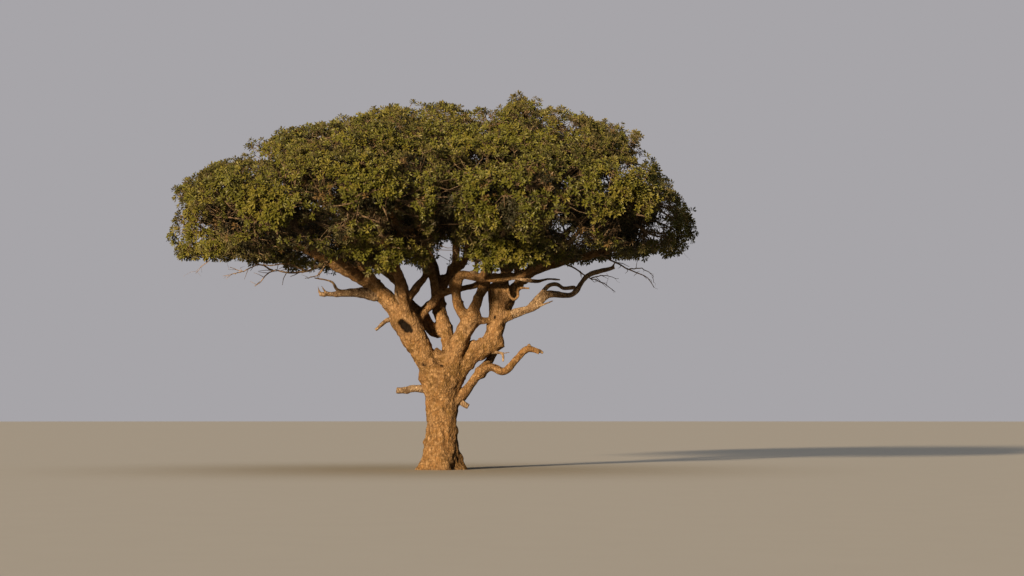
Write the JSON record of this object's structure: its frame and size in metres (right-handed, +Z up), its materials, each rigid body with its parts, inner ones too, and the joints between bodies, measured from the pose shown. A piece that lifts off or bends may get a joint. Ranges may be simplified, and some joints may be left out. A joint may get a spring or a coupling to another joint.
{
  "type": "broad-crowned savanna tree",
  "caption": "Broad-crowned savanna tree with a short stout trunk, crooked spreading boughs, dead snags and a dense flat-bottomed dome of coarse leaves, cut flat at the ground.",
  "frame": {"origin": "middle of the flat cut under the trunk, at ground level", "axes": "+Z up along the trunk, +X to the right as the tree is seen from its front, +Y towards its back"},
  "size_m": [17.3774, 15.8659, 12.035],
  "materials": {
    "bark": "rough, scaly, warm grey-brown bark",
    "dead_wood": "weathered, barkless, pale grey-brown wood",
    "foliage": "leathery olive-green leaves, slightly glossy"
  },
  "bodies": {
    "root": {"trunk": "bark", "left_bough": "bark", "left_limb": "bark", "left_snag": "dead_wood", "left_front_limb": "bark", "left_back_limb": "bark", "mid_left_limb": "bark", "left_stub": "dead_wood", "front_left_limb": "bark", "top_left_limb": "bark", "under_left_limb": "bark", "mid_front_left_limb": "bark", "centre_bough": "bark", "centre_left_limb": "bark", "long_right_limb": "bark", "front_right_limb": "bark", "right_front_limb": "bark", "centre_right_limb": "bark", "mid_front_right_limb": "bark", "right_bough": "bark", "right_snag": "dead_wood", "mid_right_limb": "bark", "right_limb": "bark", "low_right_limb": "bark", "torn_stub": "dead_wood", "back_right_limb": "bark", "back_limb": "bark", "mid_back_right_limb": "bark", "low_left_stub": "dead_wood", "back_bough": "bark", "middle_limb": "bark", "mid_back_left_limb": "bark", "back_left_limb": "bark", "left_foliage": "foliage", "left_front_foliage": "foliage", "front_left_foliage": "foliage", "front_right_foliage": "foliage", "right_front_foliage": "foliage", "right_foliage": "foliage", "right_back_foliage": "foliage", "back_right_foliage": "foliage", "back_left_foliage": "foliage", "left_back_foliage": "foliage", "mid_left_foliage": "foliage", "mid_front_left_foliage": "foliage", "mid_front_right_foliage": "foliage", "mid_right_foliage": "foliage", "mid_back_right_foliage": "foliage", "mid_back_left_foliage": "foliage", "top_left_foliage": "foliage", "top_right_foliage": "foliage", "under_left_foliage": "foliage", "under_right_foliage": "foliage", "middle_foliage": "foliage"}
  },
  "joints": []
}
